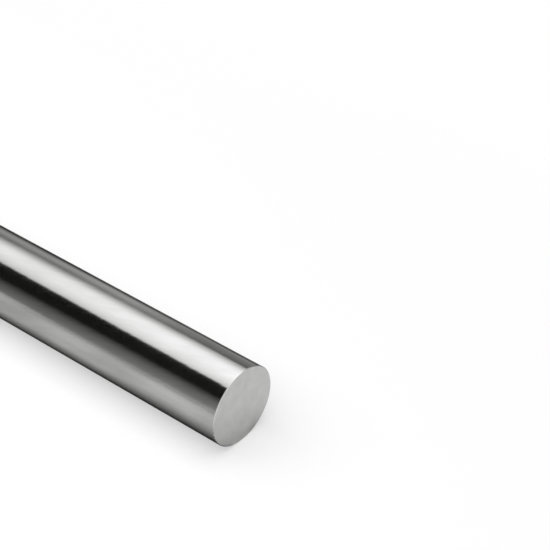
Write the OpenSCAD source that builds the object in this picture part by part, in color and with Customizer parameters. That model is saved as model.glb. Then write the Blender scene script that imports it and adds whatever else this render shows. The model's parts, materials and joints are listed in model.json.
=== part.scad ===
// Round metal bar: one length of solid stock with a ground and polished wall, lying on a floor.
// Millimetres. The axis runs along X, the floor is Z = 0, and the origin lies on the floor
// under the middle of the bar. Both ends are cut square, and their sharp edges are broken.

/* [Bar] */
// Diameter of the polished wall
bar_d = 50; // [12:0.5:150]
// Length over the two cut ends
bar_l = 1000; // [100:10:3000]

/* [Cut ends] */
// Length of the edge break at each end, measured along the bar
break_l = 0.3; // [0.2:0.1:3]
// Slope of the edge break, in degrees from the bar's axis
break_angle = 45; // [30:5:60]

/* [Hidden] */

// Sides that the turned shape is drawn with
$fn = 128;

bar_r = bar_d / 2;
// Radius of the flat cut face, inside its edge break
face_r = bar_r - break_l * tan(break_angle);

// Half of the bar's lengthwise section: X is the distance from the axis, Y runs along the bar
module half_section() {
    polygon([
        [0, 0],
        [face_r, 0],
        [bar_r, break_l],
        [bar_r, bar_l - break_l],
        [face_r, bar_l],
        [0, bar_l]
    ]);
}

// The whole bar: the half section turned about the axis, laid along X with its wall on the floor
module round_bar() {
    color([0.57, 0.57, 0.56])
        translate([-bar_l / 2, 0, bar_r])
            rotate([0, 90, 0])
                rotate_extrude()
                    half_section();
}

round_bar();
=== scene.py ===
"""Looks of the round metal bar: its polished wall, its cut ends and a plain studio to see them in."""

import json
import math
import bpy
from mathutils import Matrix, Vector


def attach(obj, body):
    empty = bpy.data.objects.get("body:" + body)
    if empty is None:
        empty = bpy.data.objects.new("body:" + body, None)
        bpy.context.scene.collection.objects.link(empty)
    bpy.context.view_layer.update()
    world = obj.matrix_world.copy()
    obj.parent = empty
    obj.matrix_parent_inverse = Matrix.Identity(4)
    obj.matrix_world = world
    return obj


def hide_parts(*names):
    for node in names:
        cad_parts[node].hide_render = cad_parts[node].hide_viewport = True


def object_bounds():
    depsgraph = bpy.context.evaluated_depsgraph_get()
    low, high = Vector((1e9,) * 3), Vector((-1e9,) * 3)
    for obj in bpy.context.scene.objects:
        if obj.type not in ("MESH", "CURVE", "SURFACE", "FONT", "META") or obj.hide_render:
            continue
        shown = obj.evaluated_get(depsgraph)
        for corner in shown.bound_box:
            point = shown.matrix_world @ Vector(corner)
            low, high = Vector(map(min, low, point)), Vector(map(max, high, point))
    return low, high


bl_info = {
    "name": "Round metal bar",
    "version": (1, 0, 0),
    "blender": (4, 5, 0),
    "location": "3D View > Sidebar > Metal bar",
    "description": "Turns a polished round bar with cut ends and sets a plain pale studio round it",
    "category": "Add Mesh",
}

import bmesh
import bpy
from bpy.props import FloatProperty, FloatVectorProperty, IntProperty, PointerProperty
from mathutils import Vector

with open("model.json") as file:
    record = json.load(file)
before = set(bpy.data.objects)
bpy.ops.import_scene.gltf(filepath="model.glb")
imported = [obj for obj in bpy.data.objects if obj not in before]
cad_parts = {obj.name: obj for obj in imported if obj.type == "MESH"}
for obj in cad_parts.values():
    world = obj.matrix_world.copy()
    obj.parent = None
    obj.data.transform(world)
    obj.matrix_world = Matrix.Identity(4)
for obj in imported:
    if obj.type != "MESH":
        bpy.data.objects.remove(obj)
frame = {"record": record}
CAD_LOW, CAD_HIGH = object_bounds()

# The bar's own sizes, as the CAD model has them, in metres
RECORD = frame["record"]
BAR_NODE = "round_bar"
STEEL_SLOT = RECORD["materials"][0]
WALL_MOUNT = next(mount for mount in RECORD["mounts"] if mount["kind"] == "pin")
MM = 0.001
BAR_DIAMETER = 2 * WALL_MOUNT["dims"]["r_mm"] * MM
BAR_LENGTH = CAD_HIGH.x - CAD_LOW.x
EDGE_BREAK = (BAR_LENGTH - WALL_MOUNT["dims"]["length_mm"] * MM) / 2
# Two places closer than this count as one
NEAR = 0.00002
# Steps that round each corner of the edge breaks
ARRIS_STEPS = 3
# X part of a face's normal, above which it belongs to an edge break, and to a cut face
BREAK_NORMAL = 0.02
FACE_NORMAL = 0.999
# The camera's film, in millimetres, that the lens goes with
FILM_WIDTH = 36


class BarShape(bpy.types.PropertyGroup):
    """Sizes of the bar."""

    diameter: FloatProperty(
        name="Diameter", description="Across the polished wall",
        default=BAR_DIAMETER, min=0.01, unit="LENGTH", precision=4,
    )
    length: FloatProperty(
        name="Length", description="Over the two cut ends",
        default=BAR_LENGTH, min=0.05, unit="LENGTH", precision=4,
    )
    edge_break: FloatProperty(
        name="Edge break", description="Width of the bevel that takes the sharp edge off each end",
        default=EDGE_BREAK, min=0.0001, unit="LENGTH", precision=5,
    )
    arris: FloatProperty(
        name="Arris", description="How far the two corners of each edge break are rounded",
        default=0.00008, min=0.00001, unit="LENGTH", precision=5,
    )
    sides: IntProperty(
        name="Sides", description="Flats that stand for the round wall",
        default=256, min=64, max=512,
    )
    lengths: IntProperty(
        name="Lengths", description="Stretches that the wall is divided into along the bar",
        default=40, min=1, max=100,
    )
    face_rings: IntProperty(
        name="Face rings", description="Rings that each cut face is divided into",
        default=8, min=2, max=24,
    )


class BarFinish(bpy.types.PropertyGroup):
    """Colours and gloss of the bar's surfaces."""

    wall_colour: FloatVectorProperty(
        name="Wall colour", description="Reflected colour of the polished wall",
        default=STEEL_SLOT["base_color"][:3], subtype="COLOR", min=0, max=1,
    )
    wall_roughness: FloatProperty(
        name="Wall roughness", description="Blur of the polished wall",
        default=0.128, min=0, max=1, subtype="FACTOR",
    )
    face_colour: FloatVectorProperty(
        name="Face colour", description="Reflected colour of the cut faces",
        default=(0.56, 0.56, 0.552), subtype="COLOR", min=0, max=1,
    )
    face_roughness: FloatProperty(
        name="Face roughness", description="Blur of the cut faces",
        default=0.5, min=0, max=1, subtype="FACTOR",
    )
    # The edge breaks' colour is set above the wall's, partly as a painted highlight for a bright line along
    # the rim of each cut end
    edge_colour: FloatVectorProperty(
        name="Edge colour", description="Reflected colour of the freshly cut edge breaks",
        default=(0.65, 0.65, 0.642), subtype="COLOR", min=0, max=1,
    )
    edge_roughness: FloatProperty(
        name="Edge roughness", description="Blur of the edge breaks",
        default=0.26, min=0, max=1, subtype="FACTOR",
    )


class BarStudio(bpy.types.PropertyGroup):
    """The floor, the light and the camera."""

    floor_colour: FloatVectorProperty(
        name="Floor colour", description="Colour of the pale floor",
        default=(0.95, 0.95, 0.95), subtype="COLOR", min=0, max=1,
    )
    floor_lift: FloatProperty(
        name="Floor lift", description="How far the floor is plain white to the eye, which thins the shadow",
        default=0.5, min=0, max=1, subtype="FACTOR",
    )
    lamp_power: FloatProperty(
        name="Lamp power", description="Power of the large soft lamp overhead",
        default=34.0, min=0, unit="POWER",
    )
    fill_level: FloatProperty(
        name="Fill level", description="Light that the surroundings give from every side",
        default=0.3, min=0, max=2,
    )
    aim: FloatVectorProperty(
        name="Aim", description="Point of the floor that the camera looks at",
        default=(0.4187, 0.1284, 0.0), subtype="XYZ", unit="LENGTH",
    )
    distance: FloatProperty(
        name="Distance", description="From the camera to that point",
        default=1.08981, min=0.1, unit="LENGTH",
    )
    azimuth: FloatProperty(
        name="Azimuth", description="How far the camera stands round from the front",
        default=math.radians(39.2055), subtype="ANGLE",
    )
    elevation: FloatProperty(
        name="Elevation", description="How far the camera looks down",
        default=math.radians(38.015), subtype="ANGLE",
    )
    lens: FloatProperty(
        name="Lens", description=f"Focal length on a film {FILM_WIDTH} mm wide",
        default=112.2, min=10, unit="CAMERA",
    )


class Wire:
    """An output of a node that Python maths works on, so that a mask reads as 1 - ring * 0.4."""

    def __init__(self, tree, socket):
        self.tree = tree
        self.socket = socket

    def maths(self, operation, *values):
        return self.tree.node("ShaderNodeMath", {"operation": operation}, dict(enumerate(values)))

    def output(self, name):
        """Another output of the same node."""
        return Wire(self.tree, self.socket.node.outputs[name])

    def __add__(self, other):
        return self.maths("ADD", self, other)

    def __radd__(self, other):
        return self.maths("ADD", other, self)

    def __sub__(self, other):
        return self.maths("SUBTRACT", self, other)

    def __rsub__(self, other):
        return self.maths("SUBTRACT", other, self)

    def __mul__(self, other):
        return self.maths("MULTIPLY", self, other)

    def __rmul__(self, other):
        return self.maths("MULTIPLY", other, self)

    def __truediv__(self, other):
        return self.maths("DIVIDE", self, other)

    def __rtruediv__(self, other):
        return self.maths("DIVIDE", other, self)

    def __abs__(self):
        return self.maths("ABSOLUTE", self)

    def at_least(self, other):
        return self.maths("MAXIMUM", self, other)

    def at_most(self, other):
        return self.maths("MINIMUM", self, other)

    def root(self):
        return self.maths("SQRT", self)

    def cosine(self):
        return self.maths("COSINE", self)

    def angle_over(self, run):
        """Angle in radians of a line that rises by this over a run."""
        return self.maths("ARCTAN2", self, run)

    def slant(self, other):
        """Length of a line that goes this far one way and that far square to it."""
        return (self * self + other * other).root()


class Tree:
    """The nodes of a material or of the world, while they are made."""

    def __init__(self, owner):
        owner.use_nodes = True
        self.nodes = owner.node_tree.nodes
        self.links = owner.node_tree.links
        self.nodes.clear()

    def node(self, kind, settings=None, inputs=None, output=0):
        """Adds a node: its settings are set first, then each input gets its value or its link."""
        made = self.nodes.new(kind)
        for name, value in (settings or {}).items():
            if name == "stops":
                self.set_stops(made.color_ramp, value)
            else:
                setattr(made, name, value)
        for name, value in (inputs or {}).items():
            if isinstance(value, Wire):
                self.links.new(value.socket, made.inputs[name])
            else:
                made.inputs[name].default_value = value
        return Wire(self, made.outputs[output]) if made.outputs else None

    def set_stops(self, ramp, stops):
        """Sets a ramp's stops from (place, grey level) pairs."""
        while len(ramp.elements) < len(stops):
            ramp.elements.new(1.0)
        for element, (place, level) in zip(ramp.elements, stops):
            element.position = place
            element.color = (level, level, level, 1)

    def multiplied(self, colour, level):
        """A colour times a grey level."""
        return self.node(
            "ShaderNodeMix", {"data_type": "RGBA", "blend_type": "MULTIPLY", "clamp_result": False},
            {0: 1.0, 6: colour, 7: level}, output=2,
        )

    def place(self):
        """Object coordinates, in metres from the row's origin."""
        return self.node("ShaderNodeTexCoord", output="Object")

    def from_axis(self, height):
        """Coordinates along and across the bar, with the axis at y = z = 0."""
        return self.node("ShaderNodeMapping", None, {"Vector": self.place(), "Location": (0, 0, -height)})

    def split(self, place):
        """The X, Y and Z of a place."""
        x = self.node("ShaderNodeSeparateXYZ", None, {"Vector": place}, output="X")
        return x, x.output("Y"), x.output("Z")

    def noise(self, place, scale, detail):
        """Noise from 0 to 1, with its own count of features per metre along each axis."""
        stretched = self.node("ShaderNodeMapping", None, {"Vector": place, "Scale": scale})
        return self.node("ShaderNodeTexNoise", None, {"Vector": stretched, "Scale": 1.0, "Detail": detail})

    def mix_colour(self, factor, first, second):
        """Blends two plain colours, each given as three numbers."""
        return self.node(
            "ShaderNodeMix", {"data_type": "RGBA"},
            {0: factor, 6: (*first, 1), 7: (*second, 1)}, output=2,
        )

    def varied(self, colour, tone, spread):
        """A plain colour, darker by a share where the tone is 0 and lighter by it where the tone is 1."""
        shares = (1 - spread, 1 + spread)
        darker, lighter = [tuple(min(1.0, level * share) for level in colour) for share in shares]
        return self.mix_colour(tone, darker, lighter)

    def soft_step(self, value, start, end, low=0.0, high=1.0):
        """Goes smoothly from the low level to the high one as a value goes from its start to its end."""
        return self.node(
            "ShaderNodeMapRange", {"interpolation_type": "SMOOTHSTEP"},
            {"Value": value, "From Min": start, "From Max": end, "To Min": low, "To Max": high},
        )

    def bump(self, height, distance, under=None):
        """Relief of the given depth in metres, on top of another relief if there is one."""
        inputs = {"Height": height, "Distance": distance, "Strength": 1.0}
        if under is not None:
            inputs["Normal"] = under
        return self.node("ShaderNodeBump", None, inputs)

    def metal(self, colour, roughness, normal):
        """A metal surface as the material's result."""
        shader = self.node(
            "ShaderNodeBsdfPrincipled", None,
            {"Base Color": colour, "Metallic": 1.0, "Roughness": roughness, "Normal": normal},
        )
        self.result(shader)

    def see_through(self, share):
        """A sheet that lets this share of the light through as the material's result."""
        black = self.node("ShaderNodeBsdfTransparent", None, {"Color": (0, 0, 0, 1)})
        clear = self.node("ShaderNodeBsdfTransparent")
        self.result(self.node("ShaderNodeMixShader", None, {0: share, 1: black, 2: clear}))

    def result(self, shader, kind="ShaderNodeOutputMaterial"):
        self.node(kind, None, {"Surface": shader})


# How far the polishing streaks turn round the bar, in radians for a metre along it
STREAK_TURN = 14.0
# Features per metre along the bar and across it: four patterns of the wall, two of the cut faces and one of
# the edge breaks, then the turning rings on a metre of the cut face's radius
RIPPLE_SCALE = (10, 22, 22)
SMUDGE_SCALE = (45, 110, 110)
STREAK_SCALE = (35, 460, 460)
GRINDING_SCALE = (2400, 18, 18)
MOTTLE_SCALE = (150, 150, 150)
GRAIN_SCALE = (2500, 2500, 2500)
NICK_SCALE = (900, 220, 220)
RING_SCALE = 1300.0
# Depth of the relief in metres
RIPPLE_DEPTH = 0.00009
SMUDGE_DEPTH = 0.00006
STREAK_DEPTH = 0.000015
GRINDING_DEPTH = 0.0000004
RING_DEPTH = 0.00001
GRAIN_DEPTH = 0.000004
NICK_DEPTH = 0.00001
# How far the roughness goes up from a pattern's 0 to its 1
SMUDGE_BLUR = 0.04
STREAK_BLUR = 0.05
MOTTLE_BLUR = 0.08
RING_BLUR = 0.04
NICK_BLUR = 0.1
# Share by which each surface's colour gets darker and lighter
WALL_SPREAD = 0.16
FACE_SPREAD = 0.16
EDGE_SPREAD = 0.07
# Share that the smudges have in the wall's tone; the streaks have the rest
SMUDGE_SHARE = 0.6
# The turning rings grow from this strength to full strength between these shares of the bar's radius
RINGS_FAINT = 0.3
RINGS_FAINT_TO = 0.6
RINGS_FULL_FROM = 0.95


def polished_wall(finish, axis_height):
    """The ground and polished wall: near a mirror, with soft smudges and streaks that wind round the bar."""
    material = bpy.data.materials.new("polished_wall")
    tree = Tree(material)
    place = tree.from_axis(axis_height)
    along, _, _ = tree.split(place)
    wound = tree.node(
        "ShaderNodeVectorRotate", {"rotation_type": "X_AXIS"},
        {"Vector": place, "Angle": along * STREAK_TURN},
    )
    smudges = tree.noise(wound, SMUDGE_SCALE, detail=3)
    streaks = tree.noise(wound, STREAK_SCALE, detail=3)
    grinding = tree.noise(place, GRINDING_SCALE, detail=2)
    ripple = tree.noise(place, RIPPLE_SCALE, detail=1)
    roughness = finish.wall_roughness + (smudges - 0.5) * SMUDGE_BLUR + (streaks - 0.5) * STREAK_BLUR
    tone = smudges * SMUDGE_SHARE + streaks * (1 - SMUDGE_SHARE)
    relief = tree.bump(ripple, RIPPLE_DEPTH)
    relief = tree.bump(smudges, SMUDGE_DEPTH, relief)
    relief = tree.bump(streaks, STREAK_DEPTH, relief)
    relief = tree.bump(grinding, GRINDING_DEPTH, relief)
    tree.metal(tree.varied(finish.wall_colour, tone, WALL_SPREAD), roughness, relief)
    return material


def cut_face(finish, axis_height):
    """The faced ends: dull, with fine rings round the axis and soft mottling."""
    material = bpy.data.materials.new("cut_face")
    tree = Tree(material)
    place = tree.from_axis(axis_height)
    _, across, height = tree.split(place)
    radius = across.slant(height)
    rings = tree.node(
        "ShaderNodeTexNoise", {"noise_dimensions": "1D"},
        {"W": radius, "Scale": RING_SCALE, "Detail": 3.0, "Roughness": 0.6},
    )
    faint_to, full_from = RINGS_FAINT_TO * axis_height, RINGS_FULL_FROM * axis_height
    strength = tree.soft_step(radius, faint_to, full_from, RINGS_FAINT, 1.0)
    mottle = tree.noise(place, MOTTLE_SCALE, detail=4)
    grain = tree.noise(place, GRAIN_SCALE, detail=2)
    tone = mottle + (rings - 0.5) * strength
    roughness = finish.face_roughness + (mottle - 0.5) * MOTTLE_BLUR + (rings - 0.5) * RING_BLUR
    relief = tree.bump(rings * strength, RING_DEPTH)
    relief = tree.bump(grain, GRAIN_DEPTH, relief)
    tree.metal(tree.varied(finish.face_colour, tone, FACE_SPREAD), roughness, relief)
    return material


def broken_edge(finish, axis_height):
    """The narrow edge break: brighter than the rest, partly as a freshly cut edge and partly as a painted
    highlight along the rim, and a little rougher than the wall.
    """
    material = bpy.data.materials.new("broken_edge")
    tree = Tree(material)
    nicks = tree.noise(tree.from_axis(axis_height), NICK_SCALE, detail=3)
    roughness = finish.edge_roughness + (nicks - 0.5) * NICK_BLUR
    relief = tree.bump(nicks, NICK_DEPTH)
    tree.metal(tree.varied(finish.edge_colour, nicks, EDGE_SPREAD), roughness, relief)
    return material


def edit(obj, select_mode="FACE"):
    """Goes into edit mode on this object alone, with nothing selected."""
    bpy.ops.object.select_all(action="DESELECT")
    obj.select_set(True)
    bpy.context.view_layer.objects.active = obj
    bpy.ops.object.mode_set(mode="EDIT")
    bpy.ops.mesh.select_mode(type=select_mode)
    bpy.ops.mesh.select_all(action="DESELECT")


def pick(obj, kind, wanted):
    """Selects just the faces or edges that pass a test."""
    bpy.ops.mesh.select_all(action="DESELECT")
    mesh = bmesh.from_edit_mesh(obj.data)
    for element in getattr(mesh, kind):
        if wanted(element):
            element.select_set(True)
    bmesh.update_edit_mesh(obj.data)


def from_axis(point, axis_height):
    """Distance of a point from the bar's axis."""
    return math.hypot(point.y, point.z - axis_height)


def turn_blank(shape):
    """The blank: a plain turned cylinder along X that lies on the floor."""
    radius = shape.diameter / 2
    bpy.ops.mesh.primitive_cylinder_add(
        vertices=shape.sides, radius=radius, depth=shape.length,
        location=(0, 0, radius), rotation=(0, math.radians(90), 0),
    )
    blank = bpy.context.object
    blank.name = "polished_bar"
    bpy.ops.object.transform_apply(location=True, rotation=True, scale=True)
    return blank


def pick_rings(bar, axis_height, rings):
    """Selects the edges that run round the bar, by their place along it and their distance from its axis."""
    def on_ring(edge):
        start, end = (vertex.co for vertex in edge.verts)
        if abs(start.x - end.x) > NEAR:
            return False
        return any(
            abs(abs(start.x) - along) < NEAR and abs(from_axis(start, axis_height) - out) < NEAR
            for along, out in rings
        )

    pick(bar, "edges", on_ring)


def break_edges(bar, shape):
    """Takes the sharp edge off both ends, then rounds the two corners that this leaves."""
    radius = shape.diameter / 2
    end = shape.length / 2
    edit(bar, "EDGE")
    pick_rings(bar, radius, [(end, radius)])
    bpy.ops.mesh.bevel(offset=shape.edge_break, offset_type="OFFSET", segments=1)
    pick_rings(bar, radius, [(end - shape.edge_break, radius), (end, radius - shape.edge_break)])
    bpy.ops.mesh.bevel(offset=shape.arris, offset_type="OFFSET", segments=ARRIS_STEPS, profile=0.5)
    bpy.ops.object.mode_set(mode="OBJECT")


def ring_faces(bar, shape):
    """Divides each cut face into rings, and closes it at the middle."""
    end = shape.length / 2
    face_radius = shape.diameter / 2 - shape.edge_break - shape.arris
    border = shape.edge_break / 2

    def whole_face(face):
        return abs(abs(face.calc_center_median().x) - end) < NEAR and len(face.verts) > 4

    edit(bar)
    pick(bar, "faces", whole_face)
    bpy.ops.mesh.inset(thickness=border, depth=0)
    for _ in range(shape.face_rings):
        bpy.ops.mesh.inset(thickness=(face_radius - border) / (shape.face_rings + 1), depth=0)
    bpy.ops.mesh.poke()
    bpy.ops.object.mode_set(mode="OBJECT")


def divide_wall(bar, shape):
    """Divides the long flats of the wall into even stretches."""
    edit(bar, "EDGE")
    pick(bar, "edges", lambda edge: edge.calc_length() > shape.length / 2)
    bpy.ops.mesh.subdivide(number_cuts=shape.lengths - 1)
    bpy.ops.object.mode_set(mode="OBJECT")


def paint(bar, shape, finish):
    """Gives the wall, the cut faces and the edge breaks their own finishes."""
    radius = shape.diameter / 2
    for material in (polished_wall, cut_face, broken_edge):
        bar.data.materials.append(material(finish, radius))

    def is_face(face):
        return abs(face.normal.x) > FACE_NORMAL

    def is_break(face):
        return BREAK_NORMAL < abs(face.normal.x) <= FACE_NORMAL

    edit(bar)
    for index, test in ((1, is_face), (2, is_break)):
        pick(bar, "faces", test)
        bar.active_material_index = index
        bpy.ops.object.material_slot_assign()
    bpy.ops.object.mode_set(mode="OBJECT")


def smooth(bar):
    """Shades the bar smooth, with its large faces keeping their own normals."""
    bpy.ops.object.shade_smooth()
    weighted = bar.modifiers.new("face_weight", "WEIGHTED_NORMAL")
    weighted.mode = "FACE_AREA"
    bpy.ops.object.modifier_apply(modifier=weighted.name)


class METALBAR_OT_turn_bar(bpy.types.Operator):
    """Turns the polished bar that stands for the CAD bar"""

    bl_idname = "metalbar.turn_bar"
    bl_label = "Turn the bar"

    def execute(self, context):
        shape = context.scene.bar_shape
        finish = context.scene.bar_finish
        bpy.ops.object.select_all(action="DESELECT")
        bar = turn_blank(shape)
        break_edges(bar, shape)
        ring_faces(bar, shape)
        divide_wall(bar, shape)
        paint(bar, shape, finish)
        smooth(bar)
        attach(bar, "root")
        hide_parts(BAR_NODE)
        return {"FINISHED"}


# Levels below are given as (place, level) stops, or as one soft step: where it starts and where it ends,
# then its level before and after. Places and sizes are in metres from the row's origin.

# Brightness of the light tent, by degrees round the bar: front horizon 0, straight up 90, back horizon 180
TENT_LEVELS = (
    (-7, 0.56), (0, 0.38), (6, 0.245), (22, 0.155), (33, 0.06), (38.5, 0.012), (71.2, 0.012), (73.7, 0.95),
    (84, 1.22), (100, 1.43), (117, 1.45), (127, 1.31), (147, 0.44), (153, 0.245), (180, 0.22),
)
TENT_BRIGHTEST = 2.0
TENT_RADIUS = 1.5
TENT_REACH = 3.0
TENT_SIDES = 360
# Share of the even light at the tent's ends, by the distance from its middle, and that light's brightness
TENT_ENDS = (1.9, 2.7, 0.0, 1.0)
TENT_END_LEVEL = 1.3
# Tint of the tent's light where it is darkest and where it is brightest
DARK_TINT = (1.0, 1.0, 0.97)
BRIGHT_TINT = (1.0, 1.0, 1.032)
# The tent is as written at this place along the bar. From there it gets brighter towards +X by this share a
# metre, and its pattern leans up by these degrees a metre, but neither changes beyond this distance.
TENT_TRUE_AT = -0.6
TENT_RISE = 0.36
TENT_LEAN = 16
TENT_CHANGES_WITHIN = 0.4
# At the softbox's front edge the pattern doesn't lean, and it leans in full from these degrees away on
TENT_STILL_AT = 72
TENT_STILL_WIDTH = 50
# Brightness of the back card, by height
CARD_LEVELS = ((0.0, 0.05), (0.022, 0.09), (0.034, 0.40), (0.05, 0.48), (0.065, 0.44), (0.095, 0.25))
CARD_DISTANCE = 0.09
CARD_HEIGHT = 0.095
# How far a height belongs to the card's upper part, and the light left along its foot and along that part
CARD_UPPER = (0.028, 0.05, 0.0, 1.0)
CARD_FOOT_ALONG = (0.28, 0.46, 0.5, 1.0)
CARD_UPPER_ALONG = (0.345, 0.425, 1.0, 0.55)
# Light lost away from the near end, by place along the card, and how much of that counts, by height
CARD_LOSS_ALONG = (0.27, 0.33, 0.25, 0.0)
CARD_LOSS_UP = (0.045, 0.065, 1.0, 0.0)
# How far past each end of the bar the card starts to fade and is gone
CARD_FADES_FROM = 0.04
CARD_FADED_BY = 0.30
# The gels are painted shade: grey sheets on the floor, seen in the metal alone, that darken its reflection
# of the floor; the front one darkens it most next to the bar, as a painted contact shadow
# Light that the front and the back gel let through, by the bar's radius over the distance from its axis
FRONT_SHADE_LEVELS = (
    (0.0, 0.50), (0.07, 0.66), (0.13, 0.70), (0.25, 0.67), (0.45, 0.62), (0.6, 0.54), (0.85, 0.30),
    (1.0, 0.215), (1.2, 0.085),
)
BACK_SHADE_LEVELS = ((0.0, 0.35), (1.2, 0.35))
# Share of that by the distance along from the bar's middle; on the back gel it is the same all along
FRONT_GEL_ALONG = (0.15, 0.47, 0.78, 1.0)
BACK_GEL_ALONG = (0.15, 0.47, 1.0, 1.0)
# Soft unevenness of the gels: features per metre, and how far the light differs
UNEVEN_SCALE = (22, 30, 1)
UNEVEN_DEPTH = 0.25
# The gels start this share of the bar's radius from its axis, lie this far above the floor, and run this far
# past the bar's ends. The front one reaches this far to the front, and the back one to the card.
GEL_NEAREST = 0.3
GEL_LIFT = 0.0005
GEL_OVERRUN = 0.21
GEL_WIDTH = 1.5
# Distance past the bar's ends over which the gels turn clear: the least one all over the back gel, and on
# the front gel one that grows by this slant, from this far out from the axis on, up to the most
CLEARS_OVER_LEAST = 0.004
CLEARS_OVER_MOST = 0.20
CLEARING_FROM = 0.008
CLEARING_SLANT = 2.8
# Close to the bar the gels are darker by its ends than at its middle: how far that holds out from the axis,
# and the light let through along the bar
GEL_FOOT_OUT = (0.033, 0.06, 1.0, 0.0)
GEL_FOOT_ALONG = (0.35, 0.48, 1.2, 0.8)
# Further out they have soft stripes: one clear stripe's place, the step to the next, how far they slant, and
# how much they differ
STRIPE_AT = 0.385
STRIPE_STEP = 0.09
STRIPE_SLANT = 0.57
STRIPE_DEPTH = 0.09
# The painted shadow patch by each end, darkest at its middle: the light let through from its middle
# outwards, how far it lies to the front, and how far its sheet reaches
SHADOW_PATCH_OUT = (0.0, 0.036, 0.75, 1.0)
PATCH_ASIDE = 0.008
PATCH_REACH = 0.05
# The floor fades into the white surroundings with the distance from the bar
FLOOR_SHOWN = (0.1, 0.4, 1.0, 0.0)
FLOOR_SIZE = 8.0
LAMP_PLACE = Vector((0, -0.35, 1.4))
LAMP_SIZE = (3.0, 2.0)
# Nothing nearer to the camera than this is seen
CAMERA_CLIP = 0.01


def reflected_only(obj):
    """Leaves an object to be seen in the metal alone, so that it lights and hides nothing."""
    obj.visible_camera = False
    obj.visible_diffuse = False
    obj.visible_shadow = False
    obj.visible_transmission = False


def ramp(tree, place, stops, brightest=1.0):
    """A grey level that follows (place, level) stops, as a share of the brightest."""
    start, end = stops[0][0], stops[-1][0]
    settings = {"stops": [((at - start) / (end - start), level / brightest) for at, level in stops]}
    return tree.node("ShaderNodeValToRGB", settings, {0: (place - start) / (end - start)})


def tent_glow(axis_height):
    """Bright softbox overhead, a black flag in front of it and a dim room below."""
    material = bpy.data.materials.new("tent_glow")
    material.cycles.emission_sampling = "NONE"
    tree = Tree(material)
    along, across, height = tree.split(tree.from_axis(axis_height))
    degrees = height.angle_over(across * -1) * math.degrees(1)
    nearer = (along - TENT_TRUE_AT).at_least(-TENT_CHANGES_WITHIN).at_most(TENT_CHANGES_WITHIN)
    lean = nearer * TENT_LEAN * (abs(degrees - TENT_STILL_AT) / TENT_STILL_WIDTH).at_most(1)
    pattern = ramp(tree, degrees - lean, TENT_LEVELS, TENT_BRIGHTEST) * (1 + nearer * TENT_RISE)
    end_share = tree.soft_step(abs(along), *TENT_ENDS)
    level = pattern * (1 - end_share) + end_share * (TENT_END_LEVEL / TENT_BRIGHTEST)
    colour = tree.multiplied(tree.mix_colour(level, DARK_TINT, BRIGHT_TINT), level)
    tree.result(tree.node("ShaderNodeEmission", None, {"Color": colour, "Strength": TENT_BRIGHTEST}))
    return material


def card_glow(bar_end):
    """A low grey card behind the bar, darker towards the floor, that fades out past the bar's ends."""
    material = bpy.data.materials.new("card_glow")
    material.cycles.emission_sampling = "NONE"
    tree = Tree(material)
    along, _, height = tree.split(tree.place())
    upper = tree.soft_step(height, *CARD_UPPER)
    foot_share = tree.soft_step(along, *CARD_FOOT_ALONG)
    upper_share = tree.soft_step(along, *CARD_UPPER_ALONG)
    loss = tree.soft_step(along, *CARD_LOSS_ALONG) * tree.soft_step(height, *CARD_LOSS_UP)
    share = (foot_share * (1 - upper) + upper_share * upper) * (1 - loss)
    level = ramp(tree, height, CARD_LEVELS) * share
    glow = tree.node("ShaderNodeEmission", None, {"Color": level, "Strength": 1.0})
    clear = tree.node("ShaderNodeBsdfTransparent")
    fade = tree.soft_step(abs(along), bar_end + CARD_FADES_FROM, bar_end + CARD_FADED_BY)
    tree.result(tree.node("ShaderNodeMixShader", None, {0: fade, 1: glow, 2: clear}))
    return material


def painted_shade_gel(name, radius, bar_end, levels, along_step, clears_over_most):
    """A see-through grey of painted shade, by the bar's radius over the distance from it, that clears past
    the bar's ends.
    """
    material = bpy.data.materials.new(name)
    tree = Tree(material)
    place = tree.place()
    along, across, _ = tree.split(place)
    along, out = abs(along), abs(across)
    uneven = 1 + (tree.noise(place, UNEVEN_SCALE, detail=3) - 0.5) * UNEVEN_DEPTH
    level = ramp(tree, radius / out, levels) * tree.soft_step(along, *along_step) * uneven
    close = tree.soft_step(out, *GEL_FOOT_OUT)
    foot = tree.soft_step(along, *GEL_FOOT_ALONG)
    stripes = ((along + out * STRIPE_SLANT - STRIPE_AT) * (2 * math.pi / STRIPE_STEP)).cosine()
    level = level * (1 + stripes * (1 - close) * STRIPE_DEPTH) * (1 + close * (foot - 1))
    clears_over = ((out - CLEARING_FROM) * CLEARING_SLANT).at_least(CLEARS_OVER_LEAST)
    clear = tree.soft_step(along, bar_end, bar_end + clears_over.at_most(clears_over_most))
    tree.see_through(level + clear * (1 - level))
    return material


def end_patch(bar_end):
    """A round see-through grey on the floor by each end: a painted shadow that darkens the foot of the cut
    face in its reflection.
    """
    material = bpy.data.materials.new("end_patch")
    tree = Tree(material)
    along, across, _ = tree.split(tree.place())
    away = (abs(along) - bar_end).slant(across + PATCH_ASIDE)
    tree.see_through(tree.soft_step(away, *SHADOW_PATCH_OUT))
    return material


def hang_tent(axis_height):
    """An arched sheet over the bar, open at both ends, that carries the softbox and the flag."""
    bpy.ops.mesh.primitive_cylinder_add(
        vertices=TENT_SIDES, radius=TENT_RADIUS, depth=2 * TENT_REACH, end_fill_type="NOTHING",
        location=(0, 0, axis_height), rotation=(0, math.radians(90), 0),
    )
    tent = bpy.context.object
    tent.name = "light_tent"
    bpy.ops.object.transform_apply(location=True, rotation=True, scale=True)
    edit(tent)
    pick(tent, "faces", lambda face: face.calc_center_median().z < 0)
    bpy.ops.mesh.delete(type="FACE")
    bpy.ops.object.mode_set(mode="OBJECT")
    tent.data.materials.append(tent_glow(axis_height))
    reflected_only(tent)


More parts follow.
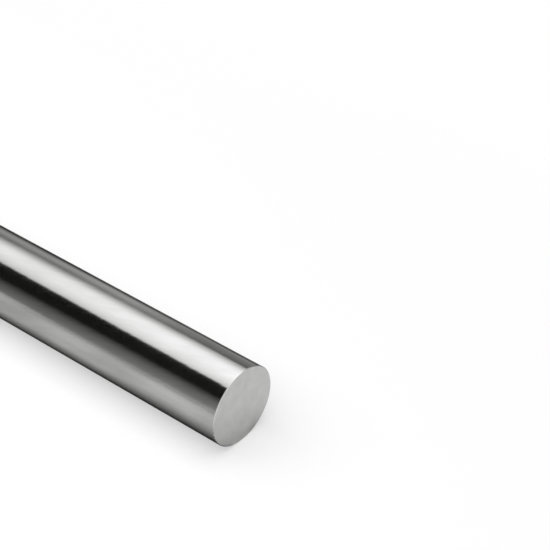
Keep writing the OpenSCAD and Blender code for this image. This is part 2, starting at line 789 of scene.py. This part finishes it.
def add_sheet(name, low, high, material):
    """A flat rectangle between two corners, that only the metal sees."""
    low, high = Vector(low), Vector(high)
    size = high - low
    upright = size.y == 0
    bpy.ops.mesh.primitive_plane_add(
        size=1.0, location=(low + high) / 2, rotation=(math.radians(90) if upright else 0, 0, 0),
    )
    sheet = bpy.context.object
    sheet.name = name
    sheet.scale = (size.x, size.z if upright else size.y, 1)
    bpy.ops.object.transform_apply(location=True, rotation=True, scale=True)
    sheet.data.materials.append(material)
    reflected_only(sheet)


def stand_card(bar_end):
    """The low card behind the bar."""
    reach = bar_end + CARD_FADED_BY
    low, high = (-reach, CARD_DISTANCE, 0), (reach, CARD_DISTANCE, CARD_HEIGHT)
    add_sheet("back_card", low, high, card_glow(bar_end))


def lay_shade_gels(radius, bar_end):
    """The grey gels of painted shade on the floor, in front of the bar and behind it, and the painted shadow
    patch by each end.
    """
    gap = GEL_NEAREST * radius
    reach = bar_end + GEL_OVERRUN
    for name, start, end, *settings in (
        ("front_gel", -GEL_WIDTH, -gap, FRONT_SHADE_LEVELS, FRONT_GEL_ALONG, CLEARS_OVER_MOST),
        ("back_gel", gap, CARD_DISTANCE, BACK_SHADE_LEVELS, BACK_GEL_ALONG, CLEARS_OVER_LEAST),
    ):
        low, high = (-reach, start, GEL_LIFT), (reach, end, GEL_LIFT)
        add_sheet(name, low, high, painted_shade_gel(name, radius, bar_end, *settings))
    patch = end_patch(bar_end)
    for name, start in (("near_patch", bar_end), ("far_patch", -bar_end - PATCH_REACH)):
        low = (start, -PATCH_REACH, 2 * GEL_LIFT)
        high = (start + PATCH_REACH, PATCH_REACH, 2 * GEL_LIFT)
        add_sheet(name, low, high, patch)


def lay_floor(studio, bar_end):
    """A pale floor that runs out into the white surroundings away from the bar."""
    bpy.ops.mesh.primitive_plane_add(size=FLOOR_SIZE)
    floor = bpy.context.object
    floor.name = "studio_floor"
    material = bpy.data.materials.new("pale_floor")
    tree = Tree(material)
    along, across, _ = tree.split(tree.place())
    away = (abs(along) - bar_end).at_least(0).slant(across)
    shown = tree.soft_step(away, *FLOOR_SHOWN)
    clear = tree.node("ShaderNodeBsdfTransparent")
    pale = tree.node("ShaderNodeBsdfDiffuse", None, {"Color": (*studio.floor_colour, 1)})
    white = tree.node("ShaderNodeEmission", None, {"Color": (1, 1, 1, 1), "Strength": 1.0})
    seen = tree.node("ShaderNodeLightPath", output="Is Camera Ray")
    lifted = tree.node("ShaderNodeMixShader", None, {0: seen * studio.floor_lift, 1: pale, 2: white})
    tree.result(tree.node("ShaderNodeMixShader", None, {0: shown, 1: clear, 2: lifted}))
    floor.data.materials.append(material)


def hang_lamp(studio):
    """One large soft lamp overhead."""
    bpy.ops.object.light_add(type="AREA", location=LAMP_PLACE)
    lamp = bpy.context.object
    lamp.rotation_euler = LAMP_PLACE.to_track_quat("Z", "Y").to_euler()
    lamp.name = "soft_lamp"
    lamp.data.shape = "RECTANGLE"
    lamp.data.size, lamp.data.size_y = LAMP_SIZE
    lamp.data.energy = studio.lamp_power
    lamp.visible_camera = False
    lamp.visible_glossy = False


def light_room(studio):
    """White surroundings for the eye and for reflections, and a plain grey fill for all else."""
    world = bpy.data.worlds.new("white_room")
    bpy.context.scene.world = world
    world.cycles.sampling_method = "NONE"
    tree = Tree(world)
    camera = tree.node("ShaderNodeLightPath", output="Is Camera Ray")
    seen = camera.at_least(camera.output("Is Glossy Ray")).at_least(camera.output("Is Transmission Ray"))
    level = studio.fill_level + seen * (1 - studio.fill_level)
    room = tree.node("ShaderNodeBackground", None, {"Color": (1, 1, 1, 1), "Strength": level})
    tree.result(room, "ShaderNodeOutputWorld")


def place_camera(studio):
    """The camera, aimed at a point of the floor."""
    side, up = studio.azimuth, studio.elevation
    back = Vector((math.sin(side) * math.cos(up), -math.cos(side) * math.cos(up), math.sin(up)))
    bpy.ops.object.camera_add(location=Vector(studio.aim) + back * studio.distance)
    camera = bpy.context.object
    camera.rotation_euler = back.to_track_quat("Z", "Y").to_euler()
    camera.data.sensor_width = FILM_WIDTH
    camera.data.lens = studio.lens
    camera.data.clip_start = CAMERA_CLIP
    bpy.context.scene.camera = camera


class METALBAR_OT_set_stage(bpy.types.Operator):
    """Lays the floor, hangs the light and places the camera"""

    bl_idname = "metalbar.set_stage"
    bl_label = "Set the stage"

    def execute(self, context):
        scene = context.scene
        axis_height = scene.bar_shape.diameter / 2
        bar_end = scene.bar_shape.length / 2
        bpy.ops.object.select_all(action="DESELECT")
        lay_floor(scene.bar_studio, bar_end)
        hang_tent(axis_height)
        stand_card(bar_end)
        lay_shade_gels(axis_height, bar_end)
        hang_lamp(scene.bar_studio)
        light_room(scene.bar_studio)
        place_camera(scene.bar_studio)
        scene.view_settings.view_transform = "Standard"
        return {"FINISHED"}


class METALBAR_PT_tools(bpy.types.Panel):
    """Lists the bar's sizes, finish and studio"""

    bl_idname = "METALBAR_PT_tools"
    bl_label = "Round metal bar"
    bl_space_type = "VIEW_3D"
    bl_region_type = "UI"
    bl_category = "Metal bar"

    def draw(self, context):
        for name in ("bar_shape", "bar_finish", "bar_studio"):
            group = getattr(context.scene, name)
            box = self.layout.box()
            box.label(text=name.replace("_", " ").capitalize())
            for key in group.__annotations__:
                box.prop(group, key)
        self.layout.operator(METALBAR_OT_turn_bar.bl_idname)
        self.layout.operator(METALBAR_OT_set_stage.bl_idname)


CLASSES = (BarShape, BarFinish, BarStudio, METALBAR_OT_turn_bar, METALBAR_OT_set_stage, METALBAR_PT_tools)


def register():
    for made in CLASSES:
        bpy.utils.register_class(made)
    bpy.types.Scene.bar_shape = PointerProperty(type=BarShape)
    bpy.types.Scene.bar_finish = PointerProperty(type=BarFinish)
    bpy.types.Scene.bar_studio = PointerProperty(type=BarStudio)


def unregister():
    del bpy.types.Scene.bar_shape
    del bpy.types.Scene.bar_finish
    del bpy.types.Scene.bar_studio
    for made in reversed(CLASSES):
        bpy.utils.unregister_class(made)


def main():
    register()
    bpy.ops.metalbar.turn_bar()
    bpy.ops.metalbar.set_stage()


if __name__ == "__main__":
    main()
